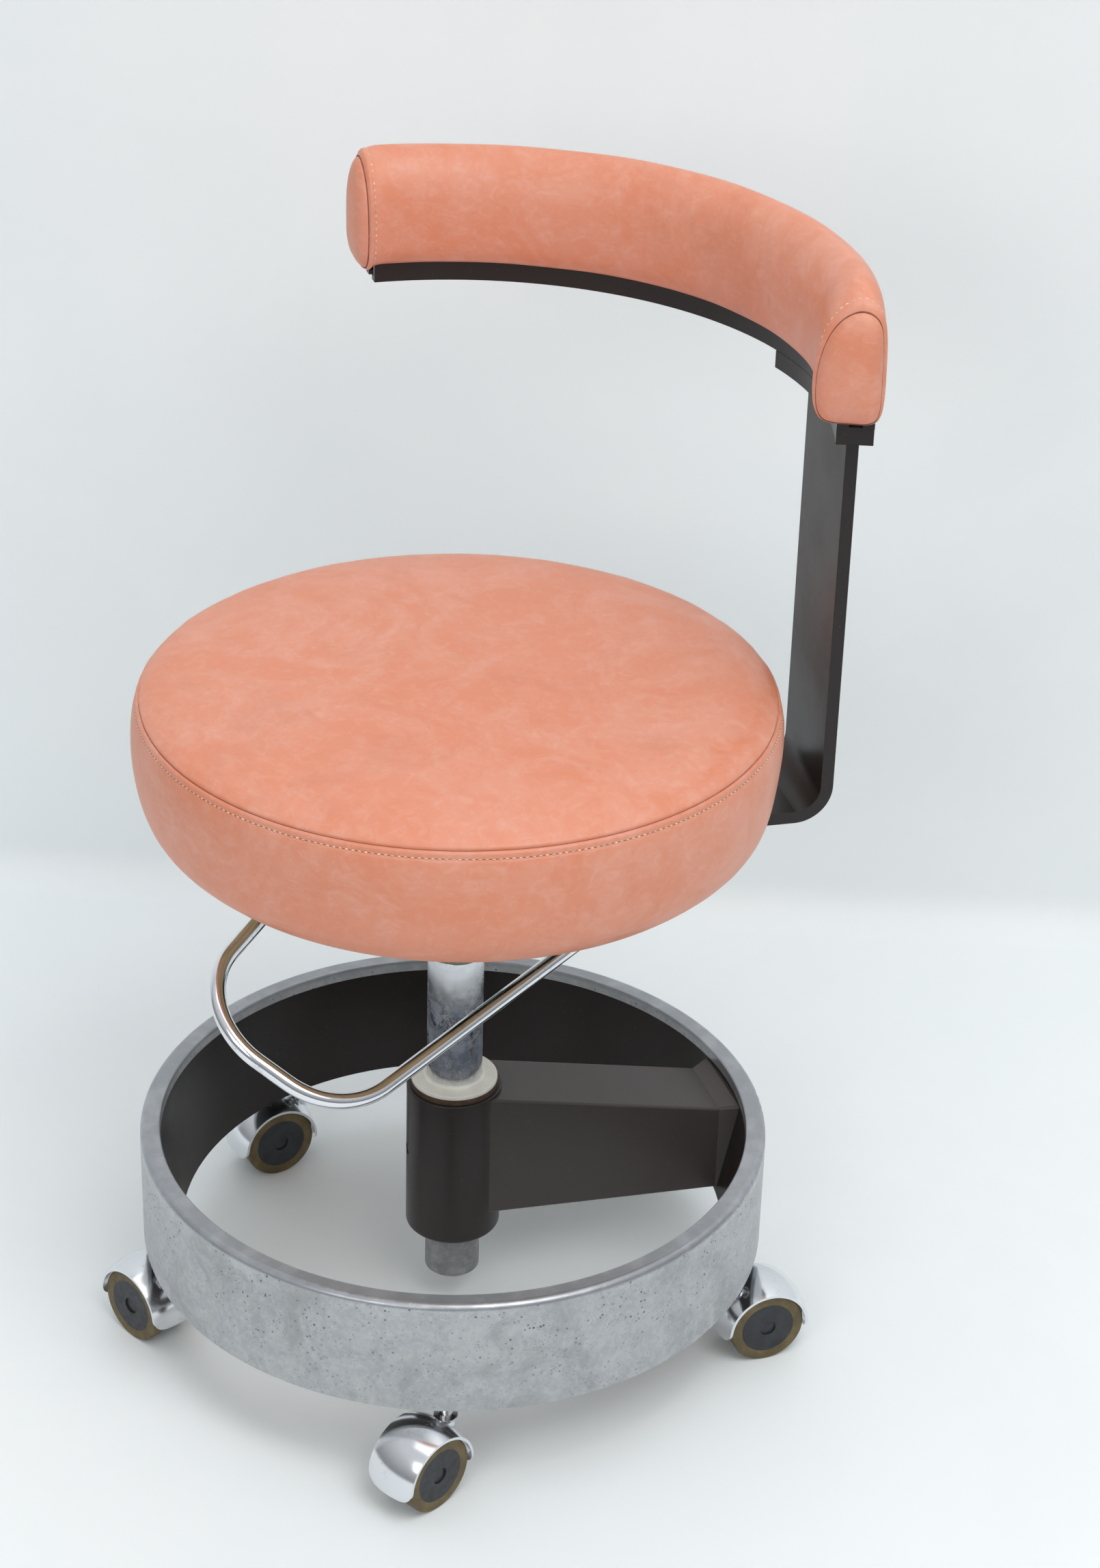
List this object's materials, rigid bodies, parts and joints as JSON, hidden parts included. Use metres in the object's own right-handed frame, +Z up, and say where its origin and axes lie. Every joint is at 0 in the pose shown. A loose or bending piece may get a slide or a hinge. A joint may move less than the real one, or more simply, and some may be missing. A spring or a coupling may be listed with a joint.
{
  "type": "dentist operator stool",
  "caption": "Swivelling operator stool: ring base on hooded casters, gas column with loop lever, round padded seat and a padded backrest that slides round it on a curved rail.",
  "frame": {"origin": "on the floor under the column's axis", "axes": "+Z up, -Y is the way the sitter faces, +X to the sitter's left, the backrest post stands at +Y"},
  "size_m": [0.4729, 0.476, 0.7225],
  "materials": {
    "vinyl": "soft sheen salmon-orange vinyl, mottled paler in patches",
    "foam_core": "plain plywood",
    "rim_metal": "pitted and dulled band with a smoother lip",
    "brown_paint": "satin dark brown paint with small chips",
    "chrome_tube": "worn chrome with blue-grey corrosion patches",
    "chrome_rod": "pitted chrome",
    "chrome_hood": "bright chrome",
    "steel": "plain",
    "cylinder_paint": "light grey-green satin",
    "nylon": "cream white nylon",
    "felt": "greasy brown felt",
    "tyre": "olive brown, matt",
    "hub_plastic": "blue-black satin",
    "bronze": "plain"
  },
  "bodies": {
    "base": {"base_rim": "rim_metal", "inner_ring": "brown_paint", "caster_sockets": "steel", "hub": "brown_paint", "grub_screw": "steel", "support_arm": "brown_paint", "felt_ring": "felt", "collar_bush": "nylon", "lower_bush": "nylon", "stand_tube": "chrome_tube", "guide_bush": "nylon", "thrust_bearing": "steel", "caster_stem_1": "steel", "caster_stem_2": "steel", "caster_stem_3": "steel", "caster_stem_4": "steel", "caster_stem_5": "steel"},
    "rod": {"piston_rod": "steel", "piston": "steel", "rod_clip": "steel"},
    "seat": {"gas_cylinder": "cylinder_paint", "seat_socket": "brown_paint", "seat_bolts": "steel", "post": "brown_paint", "seat_board": "foam_core", "seat_pad": "vinyl", "rail_bracket": "brown_paint", "rail_glide": "nylon", "glide_screws": "steel", "lever_ears": "brown_paint", "lever_pin": "steel"},
    "valve": {"valve_pin": "steel"},
    "lever": {"lever_loop": "chrome_rod", "lever_block": "steel"},
    "backrest": {"back_rail": "brown_paint", "rail_stops": "nylon", "back_core": "foam_core", "back_pad": "vinyl", "rail_screws": "steel"},
    "caster_1": {"caster_hood_1": "chrome_hood"},
    "wheels_1": {"caster_tyres_1": "tyre", "caster_hubs_1": "hub_plastic", "caster_axle_1": "steel"},
    "caster_2": {"caster_hood_2": "chrome_hood"},
    "wheels_2": {"caster_tyres_2": "tyre", "caster_hubs_2": "hub_plastic", "caster_axle_2": "steel"},
    "caster_3": {"caster_hood_3": "chrome_hood"},
    "wheels_3": {"caster_tyres_3": "tyre", "caster_hubs_3": "hub_plastic", "caster_axle_3": "steel"},
    "caster_4": {"caster_hood_4": "chrome_hood"},
    "wheels_4": {"caster_tyres_4": "tyre", "caster_hubs_4": "hub_plastic", "caster_axle_4": "steel"},
    "caster_5": {"caster_hood_5": "chrome_hood"},
    "wheels_5": {"caster_tyres_5": "tyre", "caster_hubs_5": "hub_plastic", "caster_axle_5": "steel"}
  },
  "joints": [
    {"name": "seat_swivel", "type": "hinge", "parent": "base", "child": "rod", "pos_m": [0, 0, 0.1], "axis": [0, 0, 1], "continuous": true},
    {"name": "seat_lift", "type": "slide", "parent": "rod", "child": "seat", "axis": [0, 0, 1], "range_m": [0, 0.14]},
    {"name": "backrest_slide", "type": "hinge", "parent": "seat", "child": "backrest", "pos_m": [0, 0, 0.645], "axis": [0, 0, 1], "range_deg": [-76, 0]},
    {"name": "lever_press", "type": "hinge", "parent": "seat", "child": "lever", "pos_m": [-0.017, 0.045, 0.342], "axis": [1, 0, 0], "range_deg": [0, 4], "stiffness_Nm_per_rad": 12, "springref_deg": -6.88},
    {"name": "valve_press", "type": "slide", "parent": "seat", "child": "valve", "axis": [0, 0, 1], "range_m": [-0.0036, 0]},
    {"name": "caster_swivel_1", "type": "hinge", "parent": "base", "child": "caster_1", "pos_m": [0.09914, 0.16501, 0.056], "axis": [0, 0, 1], "continuous": true},
    {"name": "wheel_spin_1", "type": "hinge", "parent": "caster_1", "child": "wheels_1", "pos_m": [0.09695, 0.18589, 0.025], "axis": [0.9945, 0.1045, 0], "continuous": true},
    {"name": "caster_swivel_2", "type": "hinge", "parent": "base", "child": "caster_2", "pos_m": [-0.12629, 0.14528, 0.056], "axis": [0, 0, 1], "continuous": true},
    {"name": "wheel_spin_2", "type": "hinge", "parent": "caster_2", "child": "wheels_2", "pos_m": [-0.14448, 0.15578, 0.025], "axis": [0.5, 0.866, 0], "continuous": true},
    {"name": "caster_swivel_3", "type": "hinge", "parent": "base", "child": "caster_3", "pos_m": [-0.1772, -0.07522, 0.056], "axis": [0, 0, 1], "continuous": true},
    {"name": "wheel_spin_3", "type": "hinge", "parent": "caster_3", "child": "wheels_3", "pos_m": [-0.17106, -0.0953, 0.025], "axis": [-0.9563, -0.2924, 0], "continuous": true},
    {"name": "caster_swivel_4", "type": "hinge", "parent": "base", "child": "caster_4", "pos_m": [0.01678, -0.19177, 0.056], "axis": [0, 0, 1], "continuous": true},
    {"name": "wheel_spin_4", "type": "hinge", "parent": "caster_4", "child": "wheels_4", "pos_m": [-0.00103, -0.20289, 0.025], "axis": [-0.5299, 0.848, 0], "continuous": true},
    {"name": "caster_swivel_5", "type": "hinge", "parent": "base", "child": "caster_5", "pos_m": [0.18757, -0.0433, 0.056], "axis": [0, 0, 1], "continuous": true},
    {"name": "wheel_spin_5", "type": "hinge", "parent": "caster_5", "child": "wheels_5", "pos_m": [0.19931, -0.06071, 0.025], "axis": [-0.829, -0.5592, 0], "continuous": true}
  ],
  "couplings": [
    {"joint": "valve_press", "follows": "lever_press", "m_per_rad": -0.048}
  ]
}
